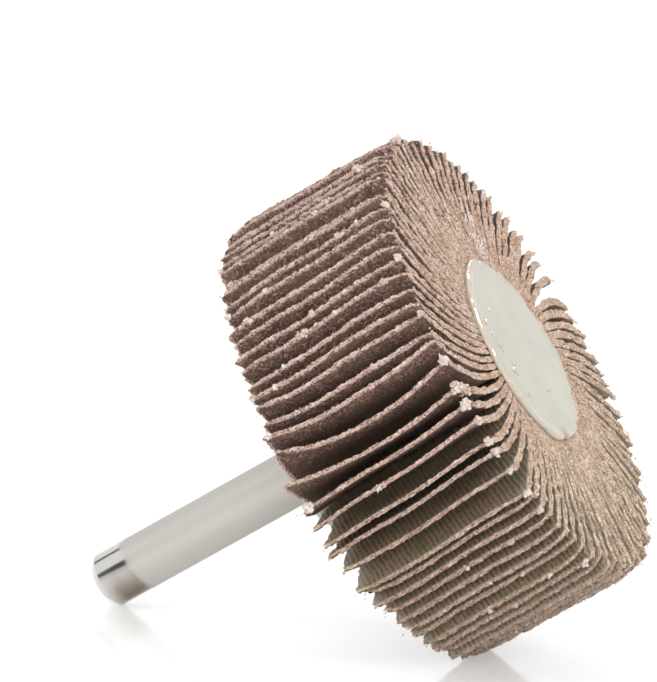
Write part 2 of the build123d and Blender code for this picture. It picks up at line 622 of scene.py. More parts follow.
@dataclass(frozen=True)
class ResinFinish(Finish):
    """Glossy cast resin, milky, stained where it meets the cloth and in one place at its edge."""

    milk: tuple = srgb(190, 186, 169)
    cloud: tuple = srgb(198, 193, 177)
    stain: tuple = srgb(196, 176, 156)
    rust: tuple = srgb(158, 116, 74)
    cloud_patches: tuple = (180.0, 0.3, 0.7)
    ragged_scale: float = 600.0
    stained_band: tuple[float, float] = (9.9, 10.7)
    stained_share: float = 0.6
    rust_band: tuple[float, float] = (1.6 * MM, 0.3 * MM)
    rust_share: float = 0.8
    light_depth: float = 1.5 * MM
    wave_scale: float = 420.0
    relief: float = 0.1 * MM

    def build(self, rust_place: Vector) -> bpy.types.Material:
        """Builds the material.

        Args:
            rust_place: middle of the brown stain, in the row frame.

        Returns:
            The material.
        """
        made, graph, shader = self.material()
        where = graph.object_place()
        colour = graph.mix(graph.patches(where, *self.cloud_patches), self.milk, self.cloud)
        ragged = graph.minus(graph.noise(where, self.ragged_scale), 0.5)
        reach = graph.plus(graph.uv_parts("resin")["X"], ragged)
        colour = graph.blend(graph.ramp(reach, *self.stained_band), self.stained_share, colour, self.stain)
        away = graph.vectors("DISTANCE", where, rust_place)
        away = graph.plus(away, graph.times(ragged, MM))
        rusty = graph.blend(graph.ramp(away, *self.rust_band), self.rust_share, colour, self.rust)
        graph.feed(rusty, shader["Base Color"])
        self.give(shader, {
            "Roughness": 0.25, "Subsurface Weight": 0.3, "Subsurface Scale": self.light_depth,
            "Specular IOR Level": 0.0, "Coat Weight": 1.0, "Coat Roughness": 0.06})
        self.bump(graph, shader, graph.noise(where, self.wave_scale), self.relief)
        return made


@dataclass(frozen=True)
class SteelFinish(Finish):
    """Ground shank steel, satin along its length and polished at its tip, where a painted dark reflection of
    the shaded floor darkens the underside.
    """

    satin: tuple = srgb(201, 197, 191)
    bright: tuple = srgb(214, 212, 207)
    # Painted reflection: dark brown that stands for the shaded floor mirrored in the polished tip's
    # underside.
    painted_dark_reflection: tuple = srgb(132, 120, 104)
    ragged_scale: float = 500.0
    polish_end: tuple[float, float] = (4.0, 5.1)
    polish_slant: float = 0.35
    painted_reflection_side: tuple[float, float] = (-0.6, 1.0)
    painted_reflection_band: tuple[float, float] = (0.3, 2.6)
    polished_roughness: float = 0.14
    ground_roughness: float = 0.36
    ground_loss: float = 0.7
    grain_scale: float = 1200.0
    relief: float = 0.006 * MM

    def build(self) -> bpy.types.Material:
        """Builds the material from the steel map: millimetres from the tip, and the share of underside.

        Returns:
            The material.
        """
        made, graph, shader = self.material()
        where = graph.object_place()
        parts = graph.uv_parts("steel")
        wobble = graph.minus(graph.noise(where, self.ragged_scale), 0.5)
        slanted = graph.minus(parts["X"], graph.times(parts["Y"], self.polish_slant))
        ground = graph.ramp(graph.plus(slanted, wobble), *self.polish_end)
        low = graph.plus(parts["Y"], graph.times(wobble, 0.5))
        # Painted reflection: darkens the underside of the polished tip as if it mirrored the shaded floor
        # below.
        stain = graph.times(graph.ramp(low, *self.painted_reflection_side), graph.ramp(parts["X"], *self.painted_reflection_band))
        polished = graph.mix(stain, self.bright, self.painted_dark_reflection)
        graph.feed(graph.mix(ground, polished, self.satin), shader["Base Color"])
        rough = graph.plus(graph.times(ground, self.ground_roughness), self.polished_roughness)
        graph.feed(rough, shader["Roughness"])
        graph.feed(graph.minus(1.0, graph.times(ground, self.ground_loss)), shader["Metallic"])
        self.bump(graph, shader, graph.noise(where, self.grain_scale), self.relief)
        return made


@dataclass(frozen=True)
class FloorFinish(Finish):
    """White glossy table that reads as plain white, apart from the wheel's shadow and faint reflection."""

    paper: tuple = srgb(238, 238, 238)
    lift: float = 0.3

    def build(self) -> bpy.types.Material:
        """Builds the material.

        Returns:
            The material.
        """
        made, graph, shader = self.material()
        self.give(shader, {"Base Color": self.paper, "Roughness": 0.12, "Specular IOR Level": 0.3})
        rays = graph.add("ShaderNodeLightPath").outputs
        seen = graph.math("MAXIMUM", rays["Is Camera Ray"], rays["Is Glossy Ray"])
        seen = graph.math("MAXIMUM", seen, rays["Is Transmission Ray"])
        glow = graph.add("ShaderNodeEmission", {"Color": WHITE, "Strength": graph.times(seen, self.lift)})
        nodes = graph.tree.nodes
        both = graph.add("ShaderNodeAddShader", {0: nodes["Principled BSDF"].outputs[0], 1: glow.outputs[0]})
        graph.feed(both.outputs[0], nodes["Material Output"].inputs["Surface"])
        return made


def finished_object(name: str, mesh: bpy.types.Mesh, materials: list[bpy.types.Material]) -> bpy.types.Object:
    """Links a mesh into the scene as an object with its materials.

    Args:
        name: the object's name.
        mesh: its mesh.
        materials: one for each slot.

    Returns:
        The object.
    """
    for material in materials:
        mesh.materials.append(material)
    made = bpy.data.objects.new(name, mesh)
    bpy.context.scene.collection.objects.link(made)
    return made


def mesh_of(shape: bmesh.types.BMesh, name: str) -> bpy.types.Mesh:
    """Makes a mesh of a shape and frees the shape.

    Args:
        shape: the shape.
        name: the mesh's name.

    Returns:
        The new mesh.
    """
    mesh = bpy.data.meshes.new(name)
    shape.to_mesh(mesh)
    shape.free()
    return mesh


def vertex_places(mesh: bpy.types.Mesh) -> np.ndarray:
    """Reads where a mesh's vertices are.

    Args:
        mesh: the mesh.

    Returns:
        Rows of coordinates.
    """
    places = np.zeros(len(mesh.vertices) * 3)
    mesh.vertices.foreach_get("co", places)
    return places.reshape(-1, 3)


def set_places(mesh: bpy.types.Mesh, places: np.ndarray) -> None:
    """Moves a mesh's vertices to rows of coordinates, and those under the floor up to it."""
    places[:, 2] = np.maximum(places[:, 2], 0.0)
    mesh.vertices.foreach_set("co", places.ravel())


@dataclass(frozen=True)
class FlapWear:
    """How use has left one flap: tip leaning, and at the rear turned, sagging, torn or spread."""

    lean: float = 0.0
    turn: float = 0.0
    sag: float = 0.0
    torn: float = 0.0
    spread: float = 0.0


@dataclass
class FlapShape:
    """Curve of one flap, worked out from where its root and its tip stand."""

    index: int
    root_angle: float
    tip_angle: float
    tip_radius: float
    skew: float
    bow_front: float
    wear: FlapWear
    bulge: float
    hook: float
    ripple: float
    sizes: WheelSizes = SIZES
    past_tip: float = 1.1
    waves: float = 1.4
    wave_step: float = 0.5
    bulge_power: float = 1.3
    bulge_lean: float = 0.3
    hook_power: int = 3
    sag_power: float = 1.2
    twist_power: float = 1.5

    def __post_init__(self) -> None:
        """Works out the arc from the resin's edge to the tip."""
        root, tip = math.radians(self.root_angle), math.radians(self.tip_angle)
        self.outward = np.array([math.cos(root), math.sin(root)])
        self.across = np.array([-math.sin(root), math.cos(root)])
        self.mouth = self.outward * self.sizes.hub_radius
        chord = np.array([math.cos(tip), math.sin(tip)]) * self.tip_radius - self.mouth
        half_turn = math.atan2(chord @ self.across, chord @ self.outward)
        self.curvature = 2 * math.sin(half_turn) / np.linalg.norm(chord)
        self.blade = 2 * half_turn / self.curvature
        self.length = self.sizes.root_grip + self.blade

    def points(self, along: np.ndarray, station: np.ndarray, through: np.ndarray) -> np.ndarray:
        """Places points of the flap.

        Args:
            along: distance from the root's foot.
            station: distance from the flap's rear edge.
            through: distance from the middle of the cloth, towards the grit.

        Returns:
            Rows of wheel coordinates.
        """
        reach = along - self.sizes.root_grip
        blade = np.maximum(reach, 0.0)
        angle = self.curvature * blade
        ahead = np.sin(angle) / self.curvature + np.minimum(reach, 0.0)
        share = np.clip(blade / self.blade, 0.0, self.past_tip)
        inner = np.minimum(share, 1.0)
        level = 2 * station / self.sizes.width - 1
        waves = np.sin(math.tau * self.waves * station / self.sizes.width + self.wave_step * self.index)
        aside = (1 - np.cos(angle)) / self.curvature + self.ripple * inner ** 2 * waves
        behind = np.maximum(-level, 0.0) ** 2
        bulge = self.bulge * np.sin(math.pi * inner ** self.bulge_power)
        aside = aside + bulge * (1 + self.bulge_lean * level)
        aside = aside + self.hook * np.sin(math.pi * inner ** self.hook_power)
        aside = aside + self.wear.sag * MM * behind * np.sin(math.pi * inner ** self.sag_power)
        normal = np.cos(angle)[:, None] * self.across - np.sin(angle)[:, None] * self.outward
        flat = self.mouth + ahead[:, None] * self.outward + aside[:, None] * self.across
        flat = flat + through[:, None] * normal
        bow = self.bow_front * np.maximum(level, 0.0) ** 2 + self.wear.turn * behind
        twist = np.radians(-self.skew * level / 2 - bow) * share ** self.twist_power
        cosine, sine = np.cos(twist), np.sin(twist)
        turned = (flat[:, 0] * cosine - flat[:, 1] * sine, flat[:, 0] * sine + flat[:, 1] * cosine)
        return np.column_stack([*turned, station])


@dataclass
class Bristles:
    """Nubs and threads that stand out of a cut edge, made once and then set along every flap."""

    nubs: int = 210
    threads: int = 200
    nub_foot: float = 0.085 * MM
    nub_head: float = 0.04 * MM
    nub_length: float = 0.15 * MM
    thread_foot: float = 0.024 * MM
    thread_length: float = 0.26 * MM
    thread_taper: float = 0.2
    tip_share: float = 0.56
    front_share: float = 0.6
    middle: float = 0.4
    lean: float = 0.45 * MM
    grit_side: float = 0.62
    depth_share: float = 0.9

    def blank(self, count: int, foot: float, head: float, face: Face) -> bpy.types.Mesh:
        """Upright three-sided spikes of unit length, all in one place.

        Args:
            count: how many spikes.
            foot: radius at the foot.
            head: radius at the head.
            face: material slot of the spikes.

        Returns:
            The mesh, spike after spike.
        """
        shape = bmesh.new()
        for _ in range(count):
            bmesh.ops.create_cone(shape, cap_ends=True, segments=3, radius1=foot, radius2=head, depth=1.0)
        for facet in shape.faces:
            facet.material_index = face.value
        return mesh_of(shape, "bristles")

    def blanks(self) -> tuple[tuple[bpy.types.Mesh, int, float], ...]:
        """Makes one blank for the nubs and one for the threads.

        Returns:
            Blank, number and length of each kind of spike.
        """
        nubs = self.blank(self.nubs, self.nub_foot, self.nub_head, Face.CUT)
        head = self.thread_taper * self.thread_foot
        threads = self.blank(self.threads, self.thread_foot, head, Face.THREAD)
        return ((nubs, self.nubs, self.nub_length), (threads, self.threads, self.thread_length))

    def stand(self, local: np.ndarray, start: np.ndarray, toward: np.ndarray, length: np.ndarray,
              random: np.random.Generator) -> np.ndarray:
        """Stands spikes on an edge.

        Args:
            local: the upright spikes' vertices, spike by spike.
            start: foot of each spike.
            toward: unit direction of each spike.
            length: length of each spike.
            random: random numbers for how each is turned.

        Returns:
            Rows of vertex coordinates.
        """
        side = random.normal(0, 1, start.shape)
        side -= np.sum(side * toward, axis=1, keepdims=True) * toward
        side /= np.linalg.norm(side, axis=1, keepdims=True)
        third = np.cross(toward, side)
        centre = start + toward * length[:, None] * self.middle
        placed = centre[:, None] + local[..., :1] * side[:, None] + local[..., 1:2] * third[:, None]
        placed = placed + (local[..., 2:] * length[:, None, None]) * toward[:, None]
        return placed.reshape(-1, 3)


@dataclass
class ClothFlaps:
    """All the abrasive cloth flaps, each its own piece."""

    wheel: WheelFrame
    materials: list[bpy.types.Material]
    sizes: WheelSizes = SIZES
    bristles: Bristles = field(default_factory=Bristles)
    flaps_per_node: int = 2
    first_tip_angle: float = 28.5
    mean_sweep: float = 5.0
    tip_spread: float = 0.25 * MM
    tip_spread_step: float = 137.5
    parting_angle: float = 279.0
    parting_opening: float = 4.0
    parting_reach: float = 12.0
    skew: float = 3.0
    skew_change: float = 0.45
    skew_step: float = 0.45
    bow: float = 2.6
    bow_angle: float = 88.0
    bow_reach: float = 7.0
    ripple: float = 0.12 * MM
    bulge: float = 0.10 * MM
    bulge_step: float = 0.35
    bulge_start: float = 0.4
    hook_angle: float = 287.0
    hook_reach: float = 22.0
    hook: float = 0.55 * MM
    cells_along: int = 20
    cells_across: int = 66
    cells_through: int = 3
    thickness: float = 0.38 * MM
    tip_crowding: float = 1.25
    side_crowding: float = 1.2
    # Places along the unit block, whose ends are at -0.5 and 0.5.
    edge_at: float = 0.499
    frayed_from: float = -0.3
    jag: float = 0.085 * MM
    rear_jag: float = 2.2
    rope: float = 0.045 * MM
    wobbles: int = 22
    front_flare: float = 0.8
    # Angle, reach and more flare of each place where the front edges are matted together.
    packed: tuple = ((235.0, 45.0, 0.8), (307.0, 40.0, 0.7), (124.0, 22.0, 0.6))
    rear_flare: float = 0.2
    tip_flare: float = 0.06
    flare_reach: float = 0.4 * MM
    slim: float = 0.3
    slim_reach: float = 3.0 * MM
    # Waves in the flap's width, and their height in millimetres.
    wander: tuple = ((2.1, 0.04), (5.3, 0.03), (11.7, 0.02))
    wander_step: float = 2.3
    corner_loss: float = 0.8 * MM
    corner_change: float = 0.5
    rear_corner: float = 0.5
    corner_step: float = 3.1
    corner_power: int = 10
    torn_from: float = 0.7
    torn_over: float = 0.3
    spread_power: float = 0.6
    side_power: int = 8
    side_phase: float = 1.7
    # Wear of the flaps that are worn, by their number round the wheel.
    worn_flaps: dict[int, FlapWear] = field(default_factory=lambda: {
        12: FlapWear(turn=0.8),
        13: FlapWear(turn=2.1, spread=0.3),
        14: FlapWear(turn=3.3, spread=0.6),
        15: FlapWear(turn=3.9, sag=0.5, spread=1.3),
        16: FlapWear(turn=6.8, sag=1.3, spread=1.4),
        17: FlapWear(turn=4.2, sag=1.2, torn=1.0, spread=1.4),
        18: FlapWear(turn=0.8, sag=0.5, torn=1.5, spread=1.3),
        19: FlapWear(torn=0.5, spread=1.5), 20: FlapWear(torn=0.9, spread=1.2),
        21: FlapWear(torn=1.3, spread=1.0), 22: FlapWear(torn=0.7, spread=1.1),
        23: FlapWear(torn=1.2, spread=0.8), 24: FlapWear(torn=0.8, spread=0.6),
        25: FlapWear(torn=0.5, spread=0.4), 26: FlapWear(torn=0.4), 28: FlapWear(torn=0.4),
        79: FlapWear(lean=1.2), 80: FlapWear(lean=2.0), 81: FlapWear(lean=2.2), 82: FlapWear(lean=1.6),
        83: FlapWear(lean=2.0), 84: FlapWear(lean=1.2), 85: FlapWear(lean=-1.6), 86: FlapWear(lean=-0.8),
    })
    seed: int = 11
    # Degrees between neighbouring tips in order round the rim; the row starts again where it ends.
    tip_gaps: tuple = (
        3.3, 5.7, 2.3, 4.0, 3.2, 5.5, 2.8, 4.7, 3.3, 4.2, 3.8, 3.2, 5.0, 3.5, 6.3, 5.5,
        3.7, 4.3, 5.0, 3.0, 5.2, 6.6, 2.7, 2.7, 4.0, 4.0, 3.3, 4.2, 4.6, 4.2, 6.1,
    )

    def tip_angles(self) -> list[float]:
        """Works out the angle of every tip at mid-width, as the solids have them.

        Returns:
            The angles, in order round the wheel.
        """
        count = self.sizes.flap_count
        gaps = [self.tip_gaps[index % len(self.tip_gaps)] for index in range(count)]
        scale = 360 / sum(gaps)
        angle, angles = self.first_tip_angle, []
        for gap in gaps:
            offset = (angle - self.parting_angle + 180) % 360 - 180
            push = math.copysign(math.exp(-abs(offset) / self.parting_reach), offset)
            angles.append(angle + self.parting_opening / 2 * push)
            angle += gap * scale
        return angles

    def shapes(self) -> list[FlapShape]:
        """Works out every flap's curve; the bends change slowly round the wheel, so neighbours stay clear.

        Returns:
            The curves, in order round the wheel.
        """
        made = []
        pitch, step = 360 / self.sizes.flap_count, math.radians(self.tip_spread_step)
        for index, tip in enumerate(self.tip_angles()):
            wear = self.worn_flaps.get(index + 1, FlapWear())
            made.append(FlapShape(
                index=index,
                root_angle=self.first_tip_angle + self.mean_sweep + index * pitch,
                tip_angle=tip + wear.lean,
                tip_radius=self.sizes.radius + self.tip_spread * math.sin(step * index),
                skew=self.skew + self.skew_change * math.sin(self.skew_step * index),
                bow_front=self.bow * hill(tip, self.bow_angle, self.bow_reach),
                wear=wear,
                bulge=self.bulge * math.sin(self.bulge_step * index + self.bulge_start),
                hook=self.hook * hill(tip, self.hook_angle, self.hook_reach),
                ripple=self.ripple,
            ))
        return made

    def blank(self) -> bmesh.types.BMesh:
        """Makes a block of one unit, divided into the cells that every flap has.

        Returns:
            The block, with the material slots of its faces.
        """
        block = bmesh.new()
        bmesh.ops.create_cube(block, size=1.0)
        for axis, cells in enumerate((self.cells_along, self.cells_across, self.cells_through)):
            edges = [edge for edge in block.edges if abs((edge.verts[1].co - edge.verts[0].co)[axis]) > 1e-6]
            bmesh.ops.subdivide_edges(block, edges=edges, cuts=cells - 1, use_grid_fill=True)
        block.normal_update()
        for face in block.faces:
            if abs(face.normal.z) > 0.5:
                kind = Face.GRIT if face.normal.z > 0 else Face.BACKING
            else:
                gritty = face.calc_center_median().z > 0.5 / self.cells_through and face.normal.y < 0.5
                kind = Face.GRIT if gritty else Face.CUT
            face.material_index = kind.value
        return block

    def waver(self, shape: FlapShape, where: np.ndarray, phase: float) -> np.ndarray:
        """Works out the slow in and out of a cut edge, which differs from flap to flap.

        Args:
            shape: the flap's curve.
            where: distances along the edge.
            phase: start of the waves.

        Returns:
            How far the edge moves at each distance.
        """
        total = np.zeros_like(where)
        for number, (rate, height) in enumerate(self.wander):
            turn = (where / self.sizes.width * rate * math.tau + phase
                    + self.wander_step * shape.index + number)
            total += height * np.sin(turn)
        return total * MM

    def wobble(self, shape: FlapShape, random: np.random.Generator) -> tuple[np.ndarray, np.ndarray]:
        """Places along the flap, and how far the frayed front edge leans to one side at each."""
        return np.linspace(0, shape.length, self.wobbles), random.normal(0, 1, self.wobbles)

    def tip_line(self, shape: FlapShape, station: np.ndarray) -> np.ndarray:
        """Works out how far the cloth reaches from its root, with worn corners.

        Args:
            shape: the flap's curve.
            station: distances from the rear edge.

        Returns:
            The reach at each station.
        """
        level = np.clip(2 * station / self.sizes.width - 1, -1, 1)
        change = 1 + self.corner_change * math.sin(self.corner_step * shape.index)
        corner = np.abs(level) ** self.corner_power * self.corner_loss * change
        corner = corner * np.where(level < 0, self.rear_corner + shape.wear.torn, 1.0)
        return shape.length + self.waver(shape, station, 0.0) - corner

    def side_line(self, shape: FlapShape, along: np.ndarray, level: np.ndarray) -> np.ndarray:
        """Works out how far a side edge moves outwards.

        Args:
            shape: the flap's curve.
            along: distances from the root.
            level: place across the width, from -1 at the rear to 1 at the front.

        Returns:
            The move at each point; it dies away towards the middle of the width.
        """
        share = np.clip(along / shape.length, 0, 1)
        torn = shape.wear.torn * np.clip((share - self.torn_from) / self.torn_over, 0, 1) ** 2
        spread = shape.wear.spread * np.sin(math.pi * share) ** self.spread_power
        outward = (torn + spread) * MM * (level < 0)
        wavered = self.waver(shape, along, self.side_phase) * share
        return (wavered + outward) * np.abs(level) ** self.side_power

    def flare(self, shape: FlapShape, along: np.ndarray, margins: tuple[np.ndarray, ...]) -> np.ndarray:
        """Works out how much thicker the frayed cloth is.

        Args:
            shape: the flap's curve.
            along: distances from the root.
            margins: distances from the tip, the front edge and the rear edge.

        Returns:
            The share of the thickness that is added at each point.
        """
        tip_gap, front_gap, rear_gap = margins
        matted = sum(more * hill(shape.tip_angle, centre, reach) for centre, reach, more in self.packed)
        slim = self.slim + (1 - self.slim) * np.clip(tip_gap / self.slim_reach, 0, 1)
        flare = self.front_flare * (1 + matted) * slim * np.exp(-front_gap / self.flare_reach)
        flare = flare + self.rear_flare * np.exp(-rear_gap / self.flare_reach)
        return flare * (along > self.sizes.root_grip) + self.tip_flare * np.exp(-tip_gap / self.flare_reach)

    def bend(self, mesh: bpy.types.Mesh, shape: FlapShape, random: np.random.Generator) -> None:
        """Moves the blank's points onto the flap's curve, with ragged cut edges.

        Args:
            mesh: a copy of the blank.
            shape: the flap's curve.
            random: the flap's own random numbers.
        """
        unit = vertex_places(mesh)
        count = len(unit)
        at_tip = unit[:, 0] > self.edge_at
        at_side = (np.abs(unit[:, 1]) > self.edge_at) & (unit[:, 0] > self.frayed_from)
        share = 1 - (0.5 - unit[:, 0]) ** self.tip_crowding
        level = unit[:, 1] * 2
        level = np.sign(level) * (1 - (1 - np.abs(level)) ** self.side_crowding)
        station = (level + 1) / 2 * self.sizes.width
        along = share * self.tip_line(shape, station) + at_tip * random.normal(0, self.jag, count)
        ragged = at_side * np.where(level < 0, self.rear_jag, 1.0)
        sideways = self.side_line(shape, along, level) + ragged * random.normal(0, self.jag, count)
        station = station + np.sign(level) * sideways
        tip_gap = np.maximum(shape.length - along, 0)
        rear_gap = (level + 1) / 2 * self.sizes.width
        front_gap = self.sizes.width - rear_gap
        through = unit[:, 2] * self.thickness * (1 + self.flare(shape, along, (tip_gap, front_gap, rear_gap)))
        rope = self.rope * np.exp(-front_gap / (2 * self.flare_reach)) * (along > self.sizes.root_grip)
        through = through + rope * np.interp(along, *self.wobble(shape, random))
        through = through + (at_tip | at_side) * random.normal(0, 0.5 * self.jag, count)
        set_places(mesh, self.wheel.place(shape.points(along, station, through)))
        self.lay_map(mesh, "cloth", along, station)
        self.lay_map(mesh, "margin", tip_gap, np.minimum(front_gap, rear_gap))

    def lay_map(self, mesh: bpy.types.Mesh, name: str, first: np.ndarray, second: np.ndarray) -> None:
        """Gives every vertex two numbers, in millimetres, as a UV map.

        Args:
            mesh: the flap's mesh.
            name: the map's name.
            first: first number of each vertex, in metres.
            second: second number of each vertex, in metres.
        """
        corners = np.zeros(len(mesh.loops), dtype=np.int32)
        mesh.loops.foreach_get("vertex_index", corners)
        numbers = np.stack([first[corners], second[corners]], 1) / MM
        mesh.uv_layers.new(name=name).data.foreach_set("uv", numbers.ravel())

    def fringe(self, blank: bpy.types.Mesh, count: int, length: float, shape: FlapShape,
               random: np.random.Generator) -> bpy.types.Mesh:
        """Stands one kind of spike along the three free cut edges.

        Args:
            blank: the upright spikes.
            count: how many spikes the blank has.
            length: mean length of a spike.
            shape: the flap's curve.
            random: the flap's own random numbers.

        Returns:
            The spikes in place.
        """
        on_tip = random.random(count) < self.bristles.tip_share
        level = np.where(random.random(count) < self.bristles.front_share, 1.0, -1.0)
        run = random.random(count)
        through = random.random(count) - self.bristles.grit_side
        through = through * self.bristles.depth_share * self.thickness
        edge = self.sizes.root_grip + run * shape.blade
        side = (level + 1) / 2 * self.sizes.width + level * self.side_line(shape, edge, level)
        station = np.where(on_tip, run * self.sizes.width, side)
        along = np.where(on_tip, self.tip_line(shape, station), edge)
        start = self.wheel.place(shape.points(along, station, through))
        lean = random.normal(0, self.bristles.lean, (count, 3))
        ahead = along + np.where(on_tip, MM, 0.0) + lean[:, 0]
        beside = station + np.where(on_tip, 0.0, level * MM) + lean[:, 1]
        toward = self.wheel.place(shape.points(ahead, beside, through + lean[:, 2])) - start
        toward /= np.linalg.norm(toward, axis=1, keepdims=True)
        lengths = length * (0.5 + random.random(count))
        local = vertex_places(blank).reshape(count, -1, 3)
        stood = blank.copy()
        set_places(stood, self.bristles.stand(local, start, toward, lengths, random))
        return stood

    def build(self) -> list[bpy.types.Object]:
        """Builds every flap.

        Returns:
            The flaps, in order round the wheel.
        """
        blank, spikes, made = self.blank(), self.bristles.blanks(), []
        for shape in self.shapes():
            random = np.random.default_rng(self.seed + shape.index)
            mesh = bpy.data.meshes.new(f"flap_{shape.index + 1:02d}")
            blank.to_mesh(mesh)
            self.bend(mesh, shape, random)
            whole = bmesh.new()
            whole.from_mesh(mesh)
            for spike, count, length in spikes:
                stood = self.fringe(spike, count, length, shape, random)
                whole.from_mesh(stood)
                bpy.data.meshes.remove(stood)
            for face in whole.faces:
                face.smooth = face.material_index in (Face.GRIT.value, Face.BACKING.value)
            whole.to_mesh(mesh)
            whole.free()
            flap = finished_object(mesh.name, mesh, self.materials)
            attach(flap, "root")
            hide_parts(f"flap_pair_{shape.index // self.flaps_per_node + 1:02d}")
            made.append(flap)
        blank.free()
        for spike, _, _ in spikes:
            bpy.data.meshes.remove(spike)
        return made


@dataclass(frozen=True)
class Tuft:
    """A lump of loose fibres on a cut edge; stretch draws it out along the wheel's width."""

    angle: float
    station: float
    radius: float
    spread: float
    fibres: int
    stretch: float = 1.0


@dataclass
class FrayedTufts:
    """Lumps of pale cotton that the flaps' edges have shed."""

    wheel: WheelFrame
    material: bpy.types.Material
    shapes: list[FlapShape]
    sizes: WheelSizes = SIZES
    fibre_radius: float = 0.03 * MM
    # Length of a fibre in millimetres: the least, and how much more it may be.
    fibre_least: float = 0.2
    fibre_more: float = 0.3
    scatter: float = 0.7
    curl: float = 1.2
    fibre_seat: float = 0.9
    crumb_radius: float = 0.2 * MM
    crumb_jag: float = 0.22
    packing: float = 0.45
    steps: int = 3
    tries: int = 40
    rim_from: float = 24.0
    inset: float = 0.2 * MM
    seed: int = 5
    # One tuft a row, as the fields of Tuft; angle in degrees and lengths in millimetres.
    tufts: tuple = (
        (152.0, 10.0, 25.5, 0.5, 16), (151.0, 19.0, 25.2, 0.8, 40), (148.6, 8.0, 25.5, 0.6, 20),
        (148.3, 15.4, 25.5, 0.5, 18), (144.0, 13.5, 25.5, 0.5, 16), (138.7, 10.4, 25.6, 0.5, 18),
        (132.2, 9.7, 25.5, 0.5, 16), (131.5, 15.2, 25.5, 0.5, 16), (127.5, 19.9, 25.2, 0.7, 30),
        (120.5, 19.8, 25.0, 0.8, 40), (117.4, 20.0, 24.9, 0.7, 30), (111.6, 19.9, 25.0, 0.8, 44),
        (108.5, 19.7, 25.2, 1.0, 60), (103.6, 20.1, 24.9, 1.0, 60), (101.4, 7.7, 25.6, 0.8, 36, 1.8),
        (98.5, 19.8, 25.2, 0.9, 50), (96.0, 20.1, 24.6, 1.2, 90), (92.6, 20.2, 23.4, 1.5, 130),
        (88.8, 19.9, 24.8, 1.1, 80), (86.0, 20.2, 24.4, 0.8, 50), (91.0, 20.0, 24.6, 1.3, 110),
        (94.5, 19.6, 25.0, 1.1, 80), (106.5, 19.9, 25.2, 0.9, 60), (20.8, 20.2, 18.6, 0.9, 60),
        (16.5, 20.2, 20.0, 0.7, 40), (5.0, 20.2, 24.3, 0.8, 50), (333.0, 20.2, 14.5, 0.7, 40),
        (188.0, 20.2, 13.4, 0.8, 40), (101.5, -0.2, 24.8, 1.3, 110), (99.0, -0.9, 25.0, 1.0, 60),
        (88.0, 16.5, 25.5, 0.4, 14), (78.6, 13.0, 25.5, 0.6, 20, 1.6), (74.5, 3.4, 25.5, 0.4, 12),
        (71.3, 2.8, 25.5, 0.6, 20), (72.0, -0.5, 25.0, 0.8, 30), (81.0, -0.4, 25.0, 0.7, 24),
        (72.5, 19.9, 25.0, 0.7, 34), (67.5, 4.5, 25.5, 0.4, 12), (63.2, 7.5, 25.6, 0.9, 60, 2.4),
        (62.8, 11.6, 25.5, 0.4, 14), (61.8, 17.4, 25.5, 0.6, 24), (60.0, 9.2, 25.5, 0.6, 20),
        (58.4, 20.0, 24.6, 0.8, 44), (53.3, 16.4, 25.5, 0.4, 14), (51.8, 2.5, 25.5, 0.9, 44),
        (49.0, -0.5, 25.2, 0.8, 30), (47.2, 5.0, 25.5, 0.5, 14), (41.5, 14.1, 25.6, 0.9, 40, 1.8),
        (42.0, 16.4, 25.5, 0.5, 16), (43.0, 20.0, 25.0, 0.8, 40), (38.5, 1.3, 25.6, 1.0, 60),
        (38.7, 11.2, 25.6, 0.9, 60, 2.0), (32.0, -0.6, 25.0, 0.8, 36), (30.5, 11.8, 25.5, 0.7, 30),
        (28.0, 6.5, 25.5, 0.6, 26), (28.5, 13.0, 25.5, 0.8, 36, 1.6), (19.0, 16.7, 25.4, 1.0, 60),
        (16.0, 20.1, 19.2, 0.8, 50), (199.0, 20.2, 15.5, 0.7, 30), (178.0, 20.2, 13.8, 0.6, 24),
        (8.0, 20.2, 24.8, 0.9, 44), (338.0, 20.2, 12.0, 0.7, 36), (331.0, 20.2, 17.0, 0.8, 40),
        (318.0, 20.2, 24.0, 0.9, 44), (322.0, 20.3, 20.0, 0.8, 40), (250.0, 20.1, 24.9, 0.7, 30),
        (215.0, 20.2, 18.0, 0.8, 30), (276.0, 20.2, 14.0, 0.8, 40), (200.0, 0.0, 25.0, 0.8, 30),
        (232.0, -0.2, 25.0, 0.8, 30), (265.0, -0.2, 24.8, 0.8, 30), (310.0, -0.2, 25.0, 0.8, 30),
        (345.0, 8.0, 25.4, 0.7, 30), (300.0, 12.0, 25.4, 0.7, 30), (225.0, 9.0, 25.4, 0.7, 30),
        (188.0, 13.0, 25.4, 0.6, 24),
    )

    def anchor(self, tuft: Tuft) -> np.ndarray:
        """Finds where a tuft holds on: the point of any flap that is nearest to its place.

        Args:
            tuft: the tuft.

        Returns:
            The point, in wheel coordinates.
        """
        turn, reach = math.radians(tuft.angle), tuft.radius * MM
        wanted = np.array([math.cos(turn) * reach, math.sin(turn) * reach, tuft.station * MM])
        best, found = math.inf, wanted
        for shape in self.shapes:
            along = np.linspace(self.sizes.root_grip, shape.length, self.tries)
            if tuft.radius > self.rim_from:
                along = np.full(self.tries, shape.length)
            station = np.clip(wanted[2], self.inset, self.sizes.width - self.inset)
            places = shape.points(along, np.full(self.tries, station), np.zeros(self.tries))
            distances = np.linalg.norm(places - wanted, axis=1)
            if distances.min() < best:
                best, found = distances.min(), places[distances.argmin()]
        return found

